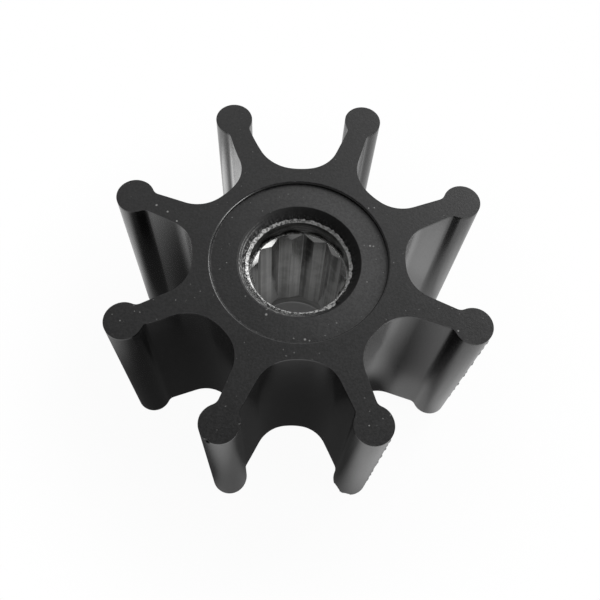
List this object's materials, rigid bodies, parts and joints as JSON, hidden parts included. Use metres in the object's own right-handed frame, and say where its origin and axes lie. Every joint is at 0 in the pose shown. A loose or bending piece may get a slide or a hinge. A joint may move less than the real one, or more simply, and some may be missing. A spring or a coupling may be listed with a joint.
{
  "type": "flexible pump impeller",
  "caption": "Flexible rubber pump impeller: straight bead-tipped vanes round a hub moulded onto a splined metal insert.",
  "frame": {"origin": "centre of the lower end face, on the impeller's axis", "axes": "+Z along the impeller's axis, out of the end face that is up in the picture, though both ends are alike; +X through the middle of a gap between two vanes"},
  "size_m": [0.0606, 0.0606, 0.0378],
  "materials": {
    "rubber": "matt black moulded rubber, satin on the vane flanks",
    "insert_metal": "machined and broached, slightly dull"
  },
  "bodies": {
    "root": {"rubber_body": "rubber", "splined_insert": "insert_metal"}
  },
  "joints": []
}
